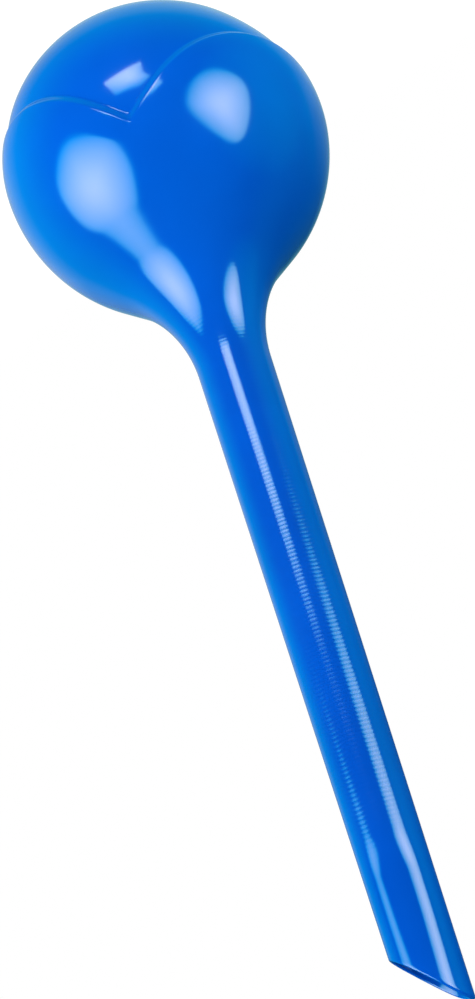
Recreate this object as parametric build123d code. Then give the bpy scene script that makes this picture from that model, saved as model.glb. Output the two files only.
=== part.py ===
"""Plant watering globe: a hollow ball with three petals in relief, on a hollow tapered stake.

The globe stands upright, as it does in a pot. +Z is up the stem, the origin is on the stem's
axis level with its lowest point, and -Y is the front. Water fills the ball through the stem and
leaves by the slanted end. All sizes are in millimetres and degrees.
"""

from build123d import *
import math
import os

# Ball and petals
BALL_RADIUS = 40.0          # outside of the petals and of the cup below them
BALL_HEIGHT = 205.0         # ball centre above the stem's lowest point
DOME_RISE = 36.6            # top of the dome above the ball centre
WALL = 1.5                  # wall of the dome, the cup and the upper stem
LAP_CLEARANCE = 0.15        # gap between the dome's skirt and the petals outside it
SKIRT_DEPTH = 5.2           # the dome's lower edge below the notches between the petals
PETAL_COUNT = 3
PETAL_TURN = 52.7           # first petal's middle, turned from the front towards +X
PETAL_CROWN = 5.0           # top of a petal above the ball centre
PETAL_ARCH_RISE = 33.0      # height of a petal's arch from its foot to its top
PETAL_HALF_WIDTH = 33.3     # half width of that arch at its foot, seen square on
PETAL_SHOULDER = 16.0       # pull of the arch's curve, level from the top
PETAL_FLANK = 25.0          # pull of the arch's curve, upright from the foot
NOTCH_ROUND = 1.6           # rounding of the notch between two petals
LIP_ROUND = 1.2             # rounding of a petal's outer edge

# Neck and stem
NECK_ROUND = 37.0           # hollow curve between the ball and the stem
TIP_RADIUS = 6.75           # outside of the stem, level with its lowest point
STEM_DRAFT = 0.745          # half angle of the stem's taper
TIP_WALL = 1.0              # wall of the stem at its open end
CUT_SLOPE = 42.0            # slanted end, from level
CUT_TURN = 9.5              # long point of the slanted end, turned from +X towards +Y

# Sizes that follow from those
DOME_RADIUS = BALL_RADIUS - WALL - LAP_CLEARANCE
CROWN_LEVEL = BALL_HEIGHT + PETAL_CROWN
ARCH_FOOT = CROWN_LEVEL - PETAL_ARCH_RISE
PETAL_STEP = 360.0 / PETAL_COUNT
STEM_GROWTH = math.tan(math.radians(STEM_DRAFT))
ROUND_REACH = BALL_RADIUS + NECK_ROUND
ARCH_CURVE = (
    (0.0, CROWN_LEVEL),
    (PETAL_SHOULDER, CROWN_LEVEL),
    (PETAL_HALF_WIDTH, ARCH_FOOT + PETAL_FLANK),
    (PETAL_HALF_WIDTH, ARCH_FOOT),
)


def stem_radius(height):
    """Outside radius of the stem at a height above its lowest point."""
    return TIP_RADIUS + height * STEM_GROWTH


def neck_foot():
    """Height where the hollow curve of the neck ends on the stem: its centre is level with it."""
    across = TIP_RADIUS + NECK_ROUND
    lead = BALL_HEIGHT - across * STEM_GROWTH
    lean = 1 + STEM_GROWTH**2
    rest = across**2 + BALL_HEIGHT**2 - ROUND_REACH**2
    return (lead - math.sqrt(lead**2 - lean * rest)) / lean


def arch_point(share):
    """Half width and height of a petal's arch, a share of the way along its curve from the top."""
    left = 1 - share
    pulls = (left**3, 3 * left**2 * share, 3 * left * share**2, share**3)
    width = sum(pull * point[0] for pull, point in zip(pulls, ARCH_CURVE))
    height = sum(pull * point[1] for pull, point in zip(pulls, ARCH_CURVE))
    return width, height


def notch_level():
    """Height where the edges of two neighbouring petals meet on the outside of the ball."""
    half_step = math.sin(math.radians(PETAL_STEP / 2))
    apart = 0.0
    joined = 1.0
    halvings = 40
    for _ in range(halvings):
        share = (apart + joined) / 2
        width, height = arch_point(share)
        ball_width = math.sqrt(BALL_RADIUS**2 - (height - BALL_HEIGHT)**2)
        if width < ball_width * half_step:
            apart = share
        else:
            joined = share
    return height


NOTCH_LEVEL = notch_level()
SKIRT_LEVEL = NOTCH_LEVEL - SKIRT_DEPTH
NECK_FOOT = neck_foot()
NECK_RADIUS = stem_radius(NECK_FOOT)
ROUND_CENTRE = NECK_RADIUS + NECK_ROUND
NECK_DROP = BALL_HEIGHT - NECK_FOOT


def on_arc(centre, radius, degrees):
    """Point on an arc in the X-Z plane."""
    turn = math.radians(degrees)
    return (centre[0] + radius * math.cos(turn), centre[1] + radius * math.sin(turn))


def spun(outline):
    """Solid of revolution of a closed X-Z outline about the stem's axis."""
    face = Plane.XZ * make_face(outline)
    return revolve(face, axis=Axis.Z)


def dome_body(radius, rise):
    """Solid dome: a ball's cap over a round skirt that is cut level at its lower edge."""
    centre = (0.0, BALL_HEIGHT)
    cap_round = (radius**2 + rise**2) / (2 * rise)
    cap_centre = (0.0, BALL_HEIGHT + rise - cap_round)
    cap_start = math.degrees(math.asin((cap_round - rise) / cap_round))
    drop = math.degrees(math.asin((BALL_HEIGHT - SKIRT_LEVEL) / radius))
    edge = on_arc(centre, radius, -drop)
    cap = CenterArc(cap_centre, cap_round, cap_start, 90 - cap_start)
    skirt = CenterArc(centre, radius, -drop, drop)
    base = Line((0.0, edge[1]), edge)
    axis = Line((0.0, edge[1]), (0.0, BALL_HEIGHT + rise))
    return spun([cap, skirt, base, axis])


def dome():
    """Smooth upper shell, with a round skirt that goes down behind the petals."""
    return dome_body(DOME_RADIUS, DOME_RISE) - dome_body(DOME_RADIUS - WALL, DOME_RISE - WALL)


def cup_shell():
    """Cup and neck before the petals are cut, up to a level just above their tops."""
    centre = (0.0, BALL_HEIGHT)
    round_centre = (ROUND_CENTRE, NECK_FOOT)
    top = CROWN_LEVEL + WALL
    inner_radius = BALL_RADIUS - WALL
    inner_round = NECK_ROUND + WALL
    meet = -math.degrees(math.asin(NECK_DROP / ROUND_REACH))
    rise_out = math.degrees(math.asin((top - BALL_HEIGHT) / BALL_RADIUS))
    rise_in = math.degrees(math.asin((top - BALL_HEIGHT) / inner_radius))
    outer_ball = CenterArc(centre, BALL_RADIUS, meet, rise_out - meet)
    inner_ball = CenterArc(centre, inner_radius, meet, rise_in - meet)
    outer_neck = CenterArc(round_centre, NECK_ROUND, 180 + meet, -meet)
    inner_neck = CenterArc(round_centre, inner_round, 180 + meet, -meet)
    brim = Line(on_arc(centre, inner_radius, rise_in), on_arc(centre, BALL_RADIUS, rise_out))
    foot = Line((NECK_RADIUS - WALL, NECK_FOOT), (NECK_RADIUS, NECK_FOOT))
    return spun([outer_ball, inner_ball, outer_neck, inner_neck, brim, foot])


def petal_arch(index):
    """Arched prism that runs out from the axis through the middle of one petal."""
    right = Bezier(*ARCH_CURVE)
    left = mirror(right, about=Plane.YZ)
    foot = Line(left @ 1, right @ 1)
    turn = PETAL_TURN + index * PETAL_STEP
    face = Rot(0, 0, turn) * (Plane.XZ * make_face([right, left, foot]))
    outward = Vector(0, -1, 0).rotate(Axis.Z, turn)
    return extrude(face, amount=2 * BALL_RADIUS, dir=outward)


def petal_cup():
    """Cup with three rounded petals in relief, and the neck that narrows to the stem."""
    waste_height = 2 * BALL_RADIUS
    waste_middle = NOTCH_LEVEL - WALL + waste_height / 2
    waste = Pos(0, 0, waste_middle) * Cylinder(2 * BALL_RADIUS, waste_height)
    for index in range(PETAL_COUNT):
        waste -= petal_arch(index)
    cup = cup_shell() - waste
    notches = [e for e in cup.edges() if is_notch(e)]
    cup = fillet(notches, NOTCH_ROUND)
    return fillet([e for e in cup.edges() if is_lip(e)], LIP_ROUND)


def on_petals(edge):
    """True for an edge that lies wholly above the part of the cup below the notches."""
    return edge.bounding_box().min.Z > NOTCH_LEVEL - WALL


def is_notch(edge):
    """True for the edge across the wall where two petals meet."""
    middle = edge @ 0.5
    from_petal = math.degrees(math.atan2(middle.X, -middle.Y)) - PETAL_TURN
    from_notch = math.radians(from_petal % PETAL_STEP - PETAL_STEP / 2)
    aside = math.hypot(middle.X, middle.Y) * abs(math.sin(from_notch))
    return on_petals(edge) and aside < LAP_CLEARANCE


def is_lip(edge):
    """True for an edge of the petals on the outside of the ball."""
    middle = edge @ 0.5
    reach = (middle - Vector(0, 0, BALL_HEIGHT)).length
    on_outside = abs(reach - BALL_RADIUS) < LAP_CLEARANCE
    return on_petals(edge) and on_outside and edge.length > WALL / 2


def stem_tube():
    """Hollow tapered stake, open at both ends, with its lower end cut on a slant."""
    outline = Polyline(
        (TIP_RADIUS, 0.0),
        (NECK_RADIUS, NECK_FOOT),
        (NECK_RADIUS - WALL, NECK_FOOT),
        (TIP_RADIUS - TIP_WALL, 0.0),
        close=True,
    )
    tube = spun(outline)
    slope = math.radians(CUT_SLOPE)
    long_point = Vector(TIP_RADIUS, 0, 0).rotate(Axis.Z, CUT_TURN)
    facing = Vector(-math.sin(slope), 0, -math.cos(slope)).rotate(Axis.Z, CUT_TURN)
    slant = Plane(long_point, z_dir=facing)
    return split(tube, bisect_by=slant, keep=Keep.BOTTOM)


PIECES = {
    "globe_dome": dome,
    "petal_cup": petal_cup,
    "stem_tube": stem_tube,
}

os.makedirs("parts", exist_ok=True)
for name, make in PIECES.items():
    export_step(make(), f"parts/{name}.step")
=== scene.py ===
"""Looks of the plant watering globe: glossy blue plastic in a white studio with three softboxes.

The skins of the dome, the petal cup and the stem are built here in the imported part's frame: +Z up
the stem, -Y the front. Sizes are in millimetres and degrees until a mesh is made. A turn is counted
from the front towards +X.
"""

import math

import bpy
import numpy as np
from mathutils import Matrix, Vector


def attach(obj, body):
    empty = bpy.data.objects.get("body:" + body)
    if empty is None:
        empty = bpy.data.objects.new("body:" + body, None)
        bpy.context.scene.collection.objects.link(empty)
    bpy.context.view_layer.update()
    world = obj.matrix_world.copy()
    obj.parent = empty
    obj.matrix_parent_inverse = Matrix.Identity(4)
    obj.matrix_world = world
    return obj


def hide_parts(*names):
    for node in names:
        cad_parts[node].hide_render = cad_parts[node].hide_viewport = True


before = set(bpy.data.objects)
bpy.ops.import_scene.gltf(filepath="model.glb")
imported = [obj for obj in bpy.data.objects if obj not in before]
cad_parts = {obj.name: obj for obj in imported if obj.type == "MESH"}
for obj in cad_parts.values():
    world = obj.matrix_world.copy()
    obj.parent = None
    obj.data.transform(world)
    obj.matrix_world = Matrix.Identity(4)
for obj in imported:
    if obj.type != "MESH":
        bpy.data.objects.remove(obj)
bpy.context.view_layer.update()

MM = 0.001

# Ball and petals
BALL_RADIUS = 40.0          # outside of the petals and of the cup below them
BALL_HEIGHT = 205.0         # ball centre above the stem's lowest point
WALL = 1.5                  # wall of the dome and of the upper stem
LAP_CLEARANCE = 0.15        # gap between the dome and the petals outside it
DOME_RADIUS = BALL_RADIUS - WALL - LAP_CLEARANCE
DOME_RISE = 36.6            # top of the dome above the ball centre, before the shift
DOME_SHIFT = (-1.0, 0.0, -1.35)  # the top of the dome sits a little lower and to the left
SHIFT_LATITUDE = 32.0       # the dome is shifted in full above this latitude
SKIRT_LATITUDE = -33.0      # lower edge of the dome, behind the petals
POLE_RING = 88.5            # latitude of the dome's smallest ring
PETAL_COUNT = 3
PETAL_STEP = 360.0 / PETAL_COUNT
PETAL_TURN = 52.4           # first petal's middle
PETAL_TILT = -2.0           # the ring of petals leans a little, lower on the right
PETAL_CROWN = 4.9           # top of a petal above the ball centre
PETAL_ARCH_RISE = 28.6      # height of a petal's arch from its foot to its top
PETAL_HALF_WIDTH = 32.7     # half width of that arch at its foot, seen square on
PETAL_SHOULDER = 14.0       # pull of the arch's curve, level from the top
PETAL_FLANK = 22.8          # pull of the arch's curve, upright from the foot
ARCH_FOOT = PETAL_CROWN - PETAL_ARCH_RISE
ARCH_CURVE = (
    (0.0, PETAL_CROWN),
    (PETAL_SHOULDER, PETAL_CROWN),
    (PETAL_HALF_WIDTH, ARCH_FOOT + PETAL_FLANK),
    (PETAL_HALF_WIDTH, ARCH_FOOT),
)
NOTCH_ROUND = 0.6           # rounding of the notch between two petals, as a turn
NOTCH_SPREAD = 1.3          # growth of that rounding for each millimetre below the edge

# Relief of the petals over the dome, by the distance inside a petal's edge
LIP_FILM = 0.06             # the petals' feathered edge above the dome
LIP_START = -1.75           # foot of the lip
LIP_WIDTH = 2.0
LIP_STEP = 0.95
PUFF_WIDTH = 9.0            # the petals swell gently inside the lip
PUFF_STEP = BALL_RADIUS - DOME_RADIUS - LIP_FILM - LIP_STEP

# Neck and stem
NECK_ROUND = 35.5           # hollow curve between the ball and the stem
NECK_FOOT = 143.0           # height where that curve meets the stem
TIP_RADIUS = 6.75           # outside of the stem, level with its lowest point
STEM_DRAFT = 0.745          # half angle of the stem's taper
STEM_GROWTH = math.tan(math.radians(STEM_DRAFT))
NECK_RADIUS = TIP_RADIUS + NECK_FOOT * STEM_GROWTH
ROUND_CENTRE = NECK_RADIUS + NECK_ROUND
NECK_DROP = BALL_HEIGHT - NECK_FOOT
NECK_REACH = math.hypot(ROUND_CENTRE, NECK_DROP)
NECK_LEAN = math.acos((BALL_RADIUS + NECK_ROUND) / NECK_REACH)
NECK_SLANT = math.atan2(NECK_DROP, ROUND_CENTRE) - NECK_LEAN
TIP_WALL = 1.0              # wall of the stem at its open end
CUT_SLOPE = 41.7            # slanted end, from level
CUT_RISE = math.tan(math.radians(CUT_SLOPE))
CUT_TURN = 95.3             # long point of the slanted end
POINT_ROUND = 1.4           # rounding of that point
DENT_TOP = 34.0             # shallow dent in the front of the stem above the slanted end
DENT_FALL = 8.0             # it deepens over this height from its top
DENT_FOOT = -2.0
DENT_RISE = 24.0            # and over this height from its foot
DENT_TURN = 0.0
DENT_SPREAD = 25.0
DENT_DEPTH = 0.5

# Ring marks left by turning the mould
RING_PITCH = 0.92
RING_HEIGHT = 0.0062
SCRATCH_PITCH = 0.35
SCRATCH_HEIGHT = 0.003
RING_TOP = 172.0            # the marks fade out up the neck
RING_TOP_FADE = 34.0
RING_FOOT = 27.0            # and down into the dent
RING_FOOT_FADE = 12.0

# Fineness of the skins
DOME_POINTS = 160           # points round the dome
DOME_ROWS = 90
DOME_LINING_ROWS = 40
ARCH_STEPS = 1500           # steps along a petal's edge
PETAL_POINTS = 112          # points along the edge of one petal
EVEN_SPREAD = 0.25          # they crowd towards the notches; 1 would spread them evenly
LIP_ROWS = 18
PUFF_ROWS = 16
BOWL_ROWS = 26
BOWL_LINING_STEP = 3        # rows of the bowl for each row of its lining
CONE_ROWS = 5
NECK_ROWS = 40
NECK_LINING_ROWS = 16
STEM_POINTS = 120           # points round the stem
STEM_ROWS = 40
DENT_ROWS = 60
RIM_ROWS = 11
STEM_LINING_ROWS = 60


def smooth_step(value):
    """Rise from 0 to 1 with level ends, for values from 0 to 1."""
    held = np.clip(value, 0.0, 1.0)
    return held * held * (3.0 - 2.0 * held)


def around(turns, radius, height):
    """Points at turns round the stem's axis."""
    angle = np.radians(turns)
    points = np.broadcast_arrays(radius * np.sin(angle), -radius * np.cos(angle), height)
    return np.stack(points, axis=-1)


def full_turn(count):
    """Even turns all the way round."""
    return np.linspace(0.0, 360.0, count, endpoint=False)


def unit(vectors):
    """Vectors at length 1."""
    return vectors / np.linalg.norm(vectors, axis=-1, keepdims=True)


def make_skin(name, rows, folds=(), closed=False):
    """Smooth mesh through rows of points, sharp along the folded rows.

    A row of one point is a pole. A closed skin joins its last row to its first.
    """
    starts = np.cumsum([0] + [len(row) for row in rows])
    pairs = list(zip(range(len(rows) - 1), range(1, len(rows))))
    if closed:
        pairs.append((len(rows) - 1, 0))
    faces = []
    for upper, lower in pairs:
        count = max(len(rows[upper]), len(rows[lower]))
        for index in range(count):
            after = (index + 1) % count
            corners = [
                starts[upper] + index % len(rows[upper]),
                starts[lower] + index % len(rows[lower]),
                starts[lower] + after % len(rows[lower]),
                starts[upper] + after % len(rows[upper]),
            ]
            faces.append(list(dict.fromkeys(int(corner) for corner in corners)))
    mesh = bpy.data.meshes.new(name)
    mesh.from_pydata((np.concatenate(rows) * MM).tolist(), [], faces)
    mesh.shade_smooth()
    row_of = np.repeat(np.arange(len(rows)), [len(row) for row in rows])
    sharpen(mesh, row_of, list(folds))
    skin = bpy.data.objects.new(name, mesh)
    bpy.context.collection.objects.link(skin)
    return skin


def sharpen(mesh, row_of, folds):
    """Keep the shading apart on the two sides of whole rows."""
    ends = np.empty(len(mesh.edges) * 2, dtype=np.int32)
    mesh.edges.foreach_get("vertices", ends)
    first, second = row_of[ends.reshape(-1, 2)].T
    sharp = (first == second) & np.isin(first, folds)
    mark = mesh.attributes.new("sharp_edge", "BOOLEAN", "EDGE")
    mark.data.foreach_set("value", sharp)


# Dome

def dome_row(latitude, inset):
    """Ring on the dome at a latitude, inset from its outside."""
    angle = math.radians(latitude)
    rise = DOME_RISE if latitude > 0 else DOME_RADIUS
    radius = (DOME_RADIUS - inset) * math.cos(angle)
    height = BALL_HEIGHT + (rise - inset) * math.sin(angle)
    shift = smooth_step(latitude / SHIFT_LATITUDE) * np.array(DOME_SHIFT)
    return around(full_turn(DOME_POINTS), radius, height) + shift


def dome_skin():
    """Smooth upper shell that goes down behind the petals."""
    pole = np.array([[0.0, 0.0, BALL_HEIGHT + DOME_RISE]]) + DOME_SHIFT
    outside = np.linspace(POLE_RING, SKIRT_LATITUDE, DOME_ROWS)
    lining = np.linspace(SKIRT_LATITUDE, POLE_RING, DOME_LINING_ROWS)
    rows = [pole]
    rows += [dome_row(latitude, 0.0) for latitude in outside]
    skirt = len(rows) - 1
    rows += [dome_row(latitude, WALL) for latitude in lining]
    rows.append(pole - [0.0, 0.0, WALL])
    return make_skin("globe_dome_skin", rows, folds=(skirt, skirt + 1))


# Petal cup

def arch_line(distance):
    """Turns and latitudes of a line at a distance inside one side of a petal's edge."""
    share = np.linspace(0.0, 1.0, ARCH_STEPS)
    left = 1.0 - share
    pulls = np.stack([left**3, 3 * left**2 * share, 3 * left * share**2, share**3], axis=-1)
    width, height = (pulls @ np.array(ARCH_CURVE) / BALL_RADIUS).T
    depth = 1.0 - width**2 - height**2
    on_ball = depth > 0
    edge = np.stack([width[on_ball], -np.sqrt(depth[on_ball]), height[on_ball]], axis=-1)
    inward = unit(np.cross(np.gradient(edge, axis=0), edge))
    step = distance / BALL_RADIUS
    line = edge * math.cos(step) + inward * math.sin(step)
    return np.degrees(np.arctan2(line[:, 0], -line[:, 1])), np.degrees(np.arcsin(line[:, 2]))


def petal_row(distance):
    """Directions from the ball centre to a line round all petals, at a distance inside their edge."""
    half = PETAL_STEP / 2
    spread = np.linspace(-1.0, 1.0, PETAL_POINTS, endpoint=False)
    from_notch = half * (EVEN_SPREAD * spread + (1.0 - EVEN_SPREAD) * spread**3)
    rounding = NOTCH_ROUND + NOTCH_SPREAD * max(distance, 0.0)
    turns, latitudes = arch_line(distance)
    latitude = np.interp(half - np.hypot(from_notch, rounding), turns, latitudes)
    notches = PETAL_TURN - half + PETAL_STEP * np.arange(PETAL_COUNT)
    level = np.radians(np.tile(latitude, PETAL_COUNT))
    row = around((notches[:, None] + from_notch).ravel(), np.cos(level), np.sin(level))
    tilt = Matrix.Rotation(math.radians(-PETAL_TILT), 3, "Y")
    return row @ np.array(tilt).T


def relief(distance):
    """Height of a petal above its feathered edge at a distance inside it."""
    step = LIP_STEP * smooth_step((distance - LIP_START) / LIP_WIDTH)
    inside = np.clip((distance - LIP_START) / PUFF_WIDTH, 0.0, 1.0)
    return step + PUFF_STEP * (1.0 - (1.0 - inside)**2)


def neck_row(turns, angle, wall):
    """Ring on the hollow curve of the neck, or a wall's thickness inside it."""
    reach = NECK_ROUND + wall
    return around(turns, ROUND_CENTRE - reach * math.cos(angle), NECK_FOOT + reach * math.sin(angle))


def cup_skin():
    """Cup with swelling petals in relief, and the neck that narrows to the stem."""
    centre = np.array([0.0, 0.0, BALL_HEIGHT])
    edge_radius = DOME_RADIUS + LIP_FILM
    cup_wall = BALL_RADIUS - edge_radius
    lip = np.linspace(LIP_START, LIP_START + LIP_WIDTH, LIP_ROWS)
    puff = np.linspace(LIP_START + LIP_WIDTH, LIP_START + PUFF_WIDTH, PUFF_ROWS)[1:]
    rows = []
    for distance in [*lip, *puff]:
        direction = petal_row(distance)
        rows.append(centre + direction * (edge_radius + relief(distance)))
    turns = np.degrees(np.arctan2(direction[:, 0], -direction[:, 1]))
    start = np.arcsin(direction[:, 2])
    levels = [start - (NECK_SLANT + start) * share for share in np.linspace(0.0, 1.0, BOWL_ROWS)]
    for level in levels[1:]:
        rows.append(centre + around(turns, BALL_RADIUS * np.cos(level), BALL_RADIUS * np.sin(level)))
    cone_top = rows[-1]
    cone = neck_row(turns, NECK_SLANT, 0.0) - cone_top
    rows += [cone_top + cone * share for share in np.linspace(0.0, 1.0, CONE_ROWS)[1:]]
    rows += [neck_row(turns, angle, 0.0) for angle in np.linspace(NECK_SLANT, 0.0, NECK_ROWS)[1:]]
    foot = len(rows) - 1
    lining = np.linspace(0.0, NECK_SLANT, NECK_LINING_ROWS)
    rows += [neck_row(turns, angle, cup_wall) for angle in lining]
    for level in reversed(levels[::BOWL_LINING_STEP]):
        rows.append(centre + around(turns, edge_radius * np.cos(level), edge_radius * np.sin(level)))
    return make_skin("petal_cup_skin", rows, folds=(0, foot, foot + 1), closed=True)


# Stem

def stem_row(turns, height, inset):
    """Ring on the stem at heights round it, inset from its outside and pressed in by the dent."""
    aside = (turns - DENT_TURN + 180.0) % 360.0 - 180.0
    across = np.exp(-0.5 * (aside / DENT_SPREAD)**2)
    below_top = smooth_step((DENT_TOP - height) / DENT_FALL)
    above_foot = smooth_step((height - DENT_FOOT) / DENT_RISE)
    dent = DENT_DEPTH * across * below_top * above_foot
    return around(turns, TIP_RADIUS + height * STEM_GROWTH - inset - dent, height)


def stem_skin():
    """Hollow tapered stake with a rounded rim on its slanted end."""
    turns = full_turn(STEM_POINTS)
    slant = CUT_RISE * TIP_RADIUS * (1.0 - np.cos(np.radians(turns - CUT_TURN)))
    cut = POINT_ROUND * (np.log1p(np.exp(slant / POINT_ROUND)) - math.log(2.0))
    half_wall = TIP_WALL / 2
    rim = cut + half_wall
    level = np.ones_like(turns)
    upper = np.linspace(NECK_FOOT, DENT_TOP, STEM_ROWS)
    rows = [stem_row(turns, level * height, 0.0) for height in upper]
    for share in np.linspace(0.0, 1.0, DENT_ROWS)[1:]:
        rows.append(stem_row(turns, DENT_TOP + (rim - DENT_TOP) * share, 0.0))
    for angle in np.linspace(0.0, math.pi, RIM_ROWS)[1:-1]:
        inset = half_wall * (1.0 - math.cos(angle))
        rows.append(stem_row(turns, rim - half_wall * math.sin(angle), inset))
    for share in np.linspace(0.0, 1.0, STEM_LINING_ROWS):
        height = rim + (NECK_FOOT - rim) * share
        rows.append(stem_row(turns, height, TIP_WALL + (WALL - TIP_WALL) * height / NECK_FOOT))
    return make_skin("stem_tube_skin", rows, folds=(0, len(rows) - 1), closed=True)


# Material

DEEP_BLUE = (0.0, 0.078, 0.52, 1.0)
BRIGHT_BLUE = (0.0, 0.118, 0.70, 1.0)
PAINTED_SHADE_BELOW = 130.0          # painted shade: the blue is deepest below this height and fades out up to the next
PAINTED_SHADE_TOP = 190.0
STEM_PAINTED_SHADE = -0.4       # painted shade down the stem: how far it turns the clouds deep there
BRIGHT_CLOUD = 0.7          # cloud where the blue is brightest
CLOUDS = (28.0, 3.0)        # grains for each metre, and how fine their detail is
SMUDGES = (60.0, 4.0)
SMUDGE_SPAN = (0.3, 0.7)    # from a clean to a smudged spot
PEEL = (420.0, 2.0)
PEEL_HEIGHT = 0.002
SCRATCH_DETAIL = 1.0
REFRACTION = 1.5
GLOSS_LEVEL = 1.0           # twice a plain plastic's
GLOSS_TINT = (0.65, 1.0, 1.0, 1.0)  # slightly cool where it is seen face on
GLOSS = (0.07, 0.11)        # roughness from the clean to the smudged spots
RING_ROUGHNESS = 0.05       # what the ridges of the ring marks add to it
RING_STRETCH = 0.5          # and how far they draw highlights out along the stem
QUARTER_TURN = 0.25         # turns that stretch from round the stem to along it


def add(tree, kind, **values):
    """New node; a value is set on the input whose name has spaces for underscores."""
    node = tree.nodes.new(kind)
    for name, value in values.items():
        node.inputs[name.replace("_", " ")].default_value = value
    return node


def math_node(tree, operation, first, second):
    """Result of a math node on two sockets or numbers."""
    node = tree.nodes.new("ShaderNodeMath")
    node.operation = operation
    for socket, value in zip(node.inputs, (first, second)):
        if isinstance(value, bpy.types.NodeSocket):
            tree.links.new(value, socket)
        else:
            socket.default_value = value
    return node.outputs["Value"]


def span(tree, value, start, end, low, high):
    """Socket that goes from low to high while a value goes from start to end."""
    node = add(tree, "ShaderNodeMapRange", From_Min=start, From_Max=end, To_Min=low, To_Max=high)
    tree.links.new(value, node.inputs["Value"])
    return node.outputs["Result"]


def noise(tree, place, grains, detail):
    """Noise with a number of grains for each metre and finer detail in them."""
    node = add(tree, "ShaderNodeTexNoise", Scale=grains, Detail=detail)
    tree.links.new(place, node.inputs["Vector"])
    return node.outputs["Fac"]


def ring_wave(tree, height):
    """Even rings round the neck and stem, from 0 in their grooves to 1 on their ridges."""
    phase = math_node(tree, "MULTIPLY", height, 2 * math.pi / (RING_PITCH * MM))
    return span(tree, math_node(tree, "SINE", phase, 0.0), -1.0, 1.0, 0.0, 1.0)


def ring_height(tree, height, wave):
    """Height of the rings with finer uneven ones on them, in metres."""
    rings = math_node(tree, "MULTIPLY", wave, RING_HEIGHT * MM)
    uneven = add(tree, "ShaderNodeTexNoise", Scale=1.0 / (SCRATCH_PITCH * MM), Detail=SCRATCH_DETAIL)
    uneven.noise_dimensions = "1D"
    tree.links.new(height, uneven.inputs["W"])
    scratches = span(tree, uneven.outputs["Fac"], 0.0, 1.0, 0.0, SCRATCH_HEIGHT * MM)
    return math_node(tree, "ADD", rings, scratches)


def ring_share(tree, height):
    """Strength of the ring marks, from 0 on the ball and low in the dent to 1 on the stem between."""
    top = span(tree, height, (RING_TOP - RING_TOP_FADE) * MM, RING_TOP * MM, 1.0, 0.0)
    foot = span(tree, height, RING_FOOT * MM, (RING_FOOT + RING_FOOT_FADE) * MM, 0.0, 1.0)
    return math_node(tree, "MULTIPLY", top, foot)


def blue_tone(tree, place, height):
    """Blue with faint flow clouds, and painted shade that makes it deeper down the stem."""
    clouds = noise(tree, place, *CLOUDS)
    # painted shade: the blue is made deeper down the stem, standing in for the lighting there
    painted_shade = span(tree, height, PAINTED_SHADE_BELOW * MM, PAINTED_SHADE_TOP * MM, STEM_PAINTED_SHADE, 0.0)
    tone = add(tree, "ShaderNodeValToRGB")
    deep, bright = tone.color_ramp.elements
    deep.color = DEEP_BLUE
    bright.color = BRIGHT_BLUE
    bright.position = BRIGHT_CLOUD
    tree.links.new(math_node(tree, "ADD", clouds, painted_shade), tone.inputs["Fac"])
    return tone.outputs["Color"]


def plastic():
    """Glossy blue moulded plastic: faint flow clouds, painted shade down the stem, smudged gloss,
    orange peel and ring marks.
    """
    material = bpy.data.materials.new("globe_plastic")
    material.use_nodes = True
    tree = material.node_tree
    shader = tree.nodes["Principled BSDF"]
    shader.inputs["IOR"].default_value = REFRACTION
    shader.inputs["Specular IOR Level"].default_value = GLOSS_LEVEL
    shader.inputs["Specular Tint"].default_value = GLOSS_TINT
    shader.inputs["Anisotropic Rotation"].default_value = QUARTER_TURN
    place = add(tree, "ShaderNodeTexCoord").outputs["Object"]
    axes = add(tree, "ShaderNodeSeparateXYZ")
    tree.links.new(place, axes.inputs["Vector"])
    height = axes.outputs["Z"]
    tree.links.new(blue_tone(tree, place, height), shader.inputs["Base Color"])

    rings = ring_share(tree, height)
    wave = ring_wave(tree, height)
    smudges = span(tree, noise(tree, place, *SMUDGES), *SMUDGE_SPAN, *GLOSS)
    ridges = math_node(tree, "MULTIPLY", rings, wave)
    roughness = math_node(tree, "ADD", smudges, math_node(tree, "MULTIPLY", ridges, RING_ROUGHNESS))
    tree.links.new(roughness, shader.inputs["Roughness"])
    along = add(tree, "ShaderNodeTangent")
    along.direction_type = "RADIAL"
    along.axis = "Z"
    tree.links.new(along.outputs["Tangent"], shader.inputs["Tangent"])
    stretch = math_node(tree, "MULTIPLY", rings, RING_STRETCH)
    tree.links.new(stretch, shader.inputs["Anisotropic"])

    peel = span(tree, noise(tree, place, *PEEL), 0.0, 1.0, 0.0, PEEL_HEIGHT * MM)
    marks = math_node(tree, "MULTIPLY", ring_height(tree, height, wave), rings)
    bump = add(tree, "ShaderNodeBump", Distance=1.0)
    tree.links.new(math_node(tree, "ADD", peel, marks), bump.inputs["Height"])
    tree.links.new(bump.outputs["Normal"], shader.inputs["Normal"])
    return material


# Softboxes: each corner has a turn, an elevation and a share of the full strength

LEFT_BOX = (
    (-57, 6.5, 0.32), (-32, -11, 0.4), (-31, -34, 0.4), (-49, -51, 0.4),
    (-79, -51, 0.4), (-94, -31, 0.4), (-88, -10, 0.4), (-77, 1.5, 0.31),
)
RIGHT_BOX = (
    (48, 17, 0.32), (64, 9, 0.45), (62.5, -20, 0.5), (52, -28, 0.4),
    (34, -21, 0.35), (23, -7, 0.35), (31, 10, 0.32),
)
FRONT_BOX = (
    (-25, 27.5, 0.8), (-10, 30.5, 1.0), (2.5, 33, 0.6), (2, 24.5, 0.5),
    (6, 20, 0.35), (-2, 15, 0.22), (-19.5, 15, 0.22),
)
FADE = ((0.25, 0.15), (0.5, 0.4), (0.75, 0.65), (0.92, 0.85), (1.0, 1.0))  # from the middle outwards
SKIRT = ((1.03, 0.15), (1.15, 0.0))  # soft edge round a box
RED_GAIN = 2.0              # a box's red fades before its green and blue
RED_LOSS = 0.74
ROUND_STEPS = 6             # points from one corner to the next
BOX_REACH = 6000.0          # distance from the ball
BOX_STRENGTH = 6.0


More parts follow.
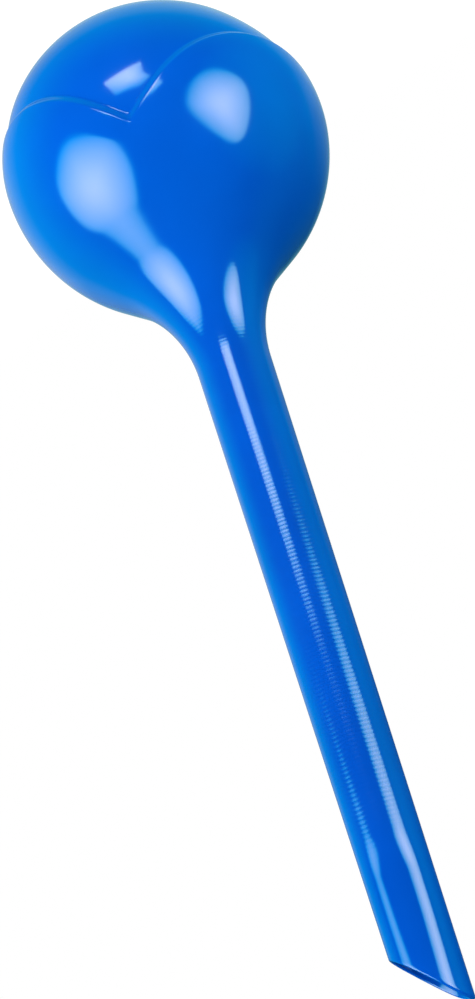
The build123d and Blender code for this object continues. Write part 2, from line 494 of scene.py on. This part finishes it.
def rounded(corners):
    """Smooth closed line through corners."""
    before, start, end, after = (np.roll(corners, shift, axis=0) for shift in (1, 0, -1, -2))
    points = []
    for share in np.linspace(0.0, 1.0, ROUND_STEPS, endpoint=False):
        straight = start + (end - start) * share
        leave = (end - before) / 2 - (end - start)
        arrive = (after - start) / 2 - (end - start)
        points.append(straight + share * (1 - share) * (leave * (1 - share) - arrive * share))
    return np.stack(points, axis=1).reshape(-1, np.shape(corners)[1])


def softbox(name, corners, skirt=()):
    """Softbox seen from the ball at the corners' turns and elevations, dimmer towards its edge."""
    turns, elevations, edge = np.array(corners).T
    rise = np.radians(elevations)
    rays = around(turns, np.cos(rise), np.sin(rise))
    middle = unit(rays.mean(axis=0))
    outline = rays * BOX_REACH / (rays @ middle)[:, None]
    hub = outline.mean(axis=0)
    rings = [(share, 1.0 - fade * (1.0 - edge)) for share, fade in FADE]
    rings += [(share, np.full_like(edge, level)) for share, level in skirt]
    centre = np.array([0.0, 0.0, BALL_HEIGHT])
    rows = [centre + hub[None]]
    rows += [centre + hub + (outline - hub) * share for share, _ in rings]
    box = make_skin(name, rows)
    box.visible_camera = False
    levels = np.concatenate([[1.0]] + [level for _, level in rings])
    glow = box.data.attributes.new("glow", "FLOAT_COLOR", "POINT")
    glow.data.foreach_set("color", cool_edged(levels).ravel())
    box.data.materials.append(glowing(name))


def cool_edged(levels):
    """Colours of a softbox where it has shares of its full strength: red fades first."""
    red = np.clip(RED_GAIN * levels - RED_LOSS, 0.0, None)
    return np.stack([red, levels, levels, np.ones_like(levels)], axis=-1)


def glowing(name):
    """Light in the colours of the mesh's own glow."""
    material = bpy.data.materials.new(name)
    material.use_nodes = True
    tree = material.node_tree
    tree.nodes.remove(tree.nodes["Principled BSDF"])
    glow = add(tree, "ShaderNodeAttribute")
    glow.attribute_name = "glow"
    light = add(tree, "ShaderNodeEmission", Strength=BOX_STRENGTH)
    tree.links.new(glow.outputs["Color"], light.inputs["Color"])
    tree.links.new(light.outputs["Emission"], tree.nodes["Material Output"].inputs["Surface"])
    return material


# World: each span has two cosines, and the levels of light there

BEHIND = (0.018, 0.924, 0.382)  # where the camera looks
BEHIND_SPAN = (-0.3, 0.8, 0.0, 0.6)
DARK_CORNER = (0.3, 0.85, -0.3)  # the studio is darker low down behind the right
DARK_CORNER_SPAN = (0.5, 0.8, 1.0, 0.2)
RIM = (0.0, 0.85, 0.5)      # and pale above that
RIM_SPAN = (0.55, 0.87, 0.0, 0.42)
OVERHEAD = (0.3, 0.0, 0.95)
OVERHEAD_SPAN = (0.6, 1.0, 0.0, 0.25)
ASIDE = (0.93, -0.36, 0.0)  # a cool wall stands on the right
ASIDE_SPAN = (0.75, 1.0, 0.0, 0.6)
LEFT_SPAN = (-0.85, -0.3, 0.4, 0.0)  # and another on the left
LEFT_BEHIND_SPAN = (-0.3, 0.3, 0.0, 1.0)  # which doesn't reach the front
FILL_LIGHT = 0.22           # plain light on the object from all round
TOP_LIGHT = 0.65            # and from straight above


def toward(tree, ray, way):
    """Cosine of the angle between a ray and a direction."""
    node = add(tree, "ShaderNodeVectorMath")
    node.operation = "DOT_PRODUCT"
    node.inputs[1].default_value = way
    tree.links.new(ray, node.inputs[0])
    return node.outputs["Value"]


def blend(tree, share, first, second):
    """Number that goes from the first to the second with a share."""
    node = tree.nodes.new("ShaderNodeMix")
    for name, value in (("Factor", share), ("A", first), ("B", second)):
        tree.links.new(value, node.inputs[name])
    return node.outputs["Result"]


def white_world():
    """White to the camera, plain light on the object, and reflections that are pale only behind it."""
    world = bpy.data.worlds.new("studio")
    bpy.context.scene.world = world
    world.use_nodes = True
    tree = world.node_tree
    ray = add(tree, "ShaderNodeTexCoord").outputs["Generated"]
    axes = add(tree, "ShaderNodeSeparateXYZ")
    tree.links.new(ray, axes.inputs["Vector"])
    behind = toward(tree, ray, BEHIND)
    lit = span(tree, toward(tree, ray, DARK_CORNER), *DARK_CORNER_SPAN)
    back = math_node(tree, "MULTIPLY", lit, span(tree, behind, *BEHIND_SPAN))
    left = span(tree, axes.outputs["X"], *LEFT_SPAN)
    left = math_node(tree, "MULTIPLY", left, span(tree, behind, *LEFT_BEHIND_SPAN))
    above = span(tree, toward(tree, ray, OVERHEAD), *OVERHEAD_SPAN)
    aside = span(tree, toward(tree, ray, ASIDE), *ASIDE_SPAN)
    cool = back
    for glow in (left, above, aside):
        cool = math_node(tree, "ADD", cool, glow)
    pale = span(tree, toward(tree, ray, RIM), *RIM_SPAN)
    pale = math_node(tree, "MULTIPLY", pale, math_node(tree, "MULTIPLY", lit, lit))
    fill = span(tree, axes.outputs["Z"], 0.0, 1.0, FILL_LIGHT, TOP_LIGHT)
    plain = math_node(tree, "ADD", back, fill)
    path = add(tree, "ShaderNodeLightPath")
    color = add(tree, "ShaderNodeCombineColor")
    for channel, mirrored in (("Red", pale), ("Green", cool), ("Blue", cool)):
        level = blend(tree, path.outputs["Is Glossy Ray"], plain, mirrored)
        level = math_node(tree, "MAXIMUM", level, path.outputs["Is Camera Ray"])
        tree.links.new(level, color.inputs[channel])
    tree.links.new(color.outputs["Color"], tree.nodes["Background"].inputs["Color"])


# Floor

FLOOR_LEVEL = -10.0         # just below the camera
FLOOR_RADIUS = 600.0
FLOOR_POINTS = 90
FLOOR_TONE = (0.9, 0.9, 0.9, 1.0)
FLOOR_ROUGHNESS = 0.8
SHADOW_REACH = 50.0         # the floor is most matt up to here and turns white outwards
SHADOW_GLOW = 0.3           # share of the background's white in it up to there


def pale_floor():
    """Plain floor that turns white outwards. The low softboxes shine through it on the globe."""
    hub = np.array([[0.0, 0.0, FLOOR_LEVEL]])
    edge = around(full_turn(FLOOR_POINTS), FLOOR_RADIUS, FLOOR_LEVEL)
    floor = make_skin("floor", [hub, edge])
    floor.visible_diffuse = False
    floor.visible_glossy = False
    floor.visible_shadow = False
    floor.data.materials.append(floor_paint())


def floor_paint():
    """Matt white round the globe, which takes its shadow, and the background's white further out."""
    material = bpy.data.materials.new("floor_paint")
    material.use_nodes = True
    tree = material.node_tree
    matt = tree.nodes["Principled BSDF"]
    matt.inputs["Base Color"].default_value = FLOOR_TONE
    matt.inputs["Roughness"].default_value = FLOOR_ROUGHNESS
    white = add(tree, "ShaderNodeEmission", Strength=1.0)
    reach = add(tree, "ShaderNodeVectorMath")
    reach.operation = "LENGTH"
    tree.links.new(add(tree, "ShaderNodeTexCoord").outputs["Object"], reach.inputs[0])
    ends = (SHADOW_REACH * MM, FLOOR_RADIUS * MM)
    outwards = span(tree, reach.outputs["Value"], *ends, SHADOW_GLOW, 1.0)
    mix = add(tree, "ShaderNodeMixShader")
    tree.links.new(outwards, mix.inputs["Fac"])
    tree.links.new(matt.outputs["BSDF"], mix.inputs[1])
    tree.links.new(white.outputs["Emission"], mix.inputs[2])
    tree.links.new(mix.outputs["Shader"], tree.nodes["Material Output"].inputs["Surface"])
    return material


# Camera

CAMERA_PLACE = (0.0, -282.26, -4.3)
CAMERA_PITCH = 22.475       # up from level
CAMERA_ROLL = -18.301
CAMERA_YAW = -1.1124
CAMERA_LENS = 50.0
CAMERA_SENSOR = 36.0
CAMERA_SHIFT = (-0.06, -0.02)


def photo_camera():
    """Camera of the photograph: close, in front and below the ball, rolled so that the stem slants."""
    camera = bpy.data.cameras.new("camera")
    camera.lens = CAMERA_LENS
    camera.sensor_width = CAMERA_SENSOR
    camera.shift_x, camera.shift_y = CAMERA_SHIFT
    holder = bpy.data.objects.new("camera", camera)
    bpy.context.collection.objects.link(holder)
    pitch = Matrix.Rotation(math.radians(90.0 + CAMERA_PITCH), 4, "X")
    roll = Matrix.Rotation(math.radians(CAMERA_ROLL), 4, "Z")
    yaw = Matrix.Rotation(math.radians(CAMERA_YAW), 4, "Z")
    holder.matrix_world = Matrix.Translation(Vector(CAMERA_PLACE) * MM) @ yaw @ pitch @ roll
    bpy.context.scene.camera = holder


SKINS = {"globe_dome": dome_skin, "petal_cup": cup_skin, "stem_tube": stem_skin}
blue = plastic()
for node, make in SKINS.items():
    skin = make()
    skin.data.materials.append(blue)
    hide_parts(node)
    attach(skin, "root")

softbox("softbox_left", rounded(LEFT_BOX), SKIRT)
softbox("softbox_right", rounded(RIGHT_BOX), SKIRT)
softbox("softbox_front", FRONT_BOX)
white_world()
pale_floor()
photo_camera()

scene = bpy.context.scene
scene.view_settings.view_transform = "Standard"
